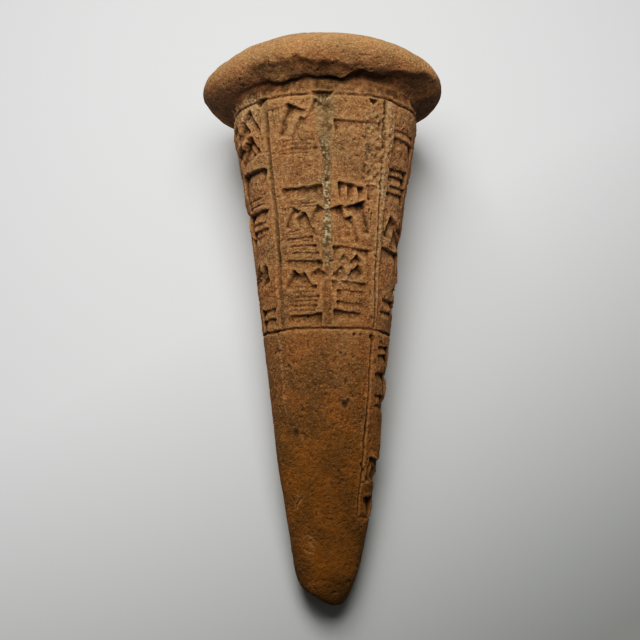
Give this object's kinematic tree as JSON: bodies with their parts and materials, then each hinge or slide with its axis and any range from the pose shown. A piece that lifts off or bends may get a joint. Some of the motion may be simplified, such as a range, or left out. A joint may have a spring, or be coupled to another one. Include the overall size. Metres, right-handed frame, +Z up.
{
  "type": "foundation cone",
  "caption": "Fired clay cone with a mushroom head and a tapering shaft, ruled into strips of shallow wedge strokes, lying on two small flat spots.",
  "frame": {"origin": "middle of the bounding box on the surface that the cone lies on", "axes": "+Z up, +Y towards the mushroom head along the cone's length, -Y towards its tip, X across"},
  "size_m": [0.0546, 0.1222, 0.0536],
  "materials": {
    "fired_clay": "matte unglazed orange-brown fired clay, with pale mineral crust in the ruled lines and soil in the strokes"
  },
  "bodies": {
    "root": {"clay_cone": "fired_clay"}
  },
  "joints": []
}
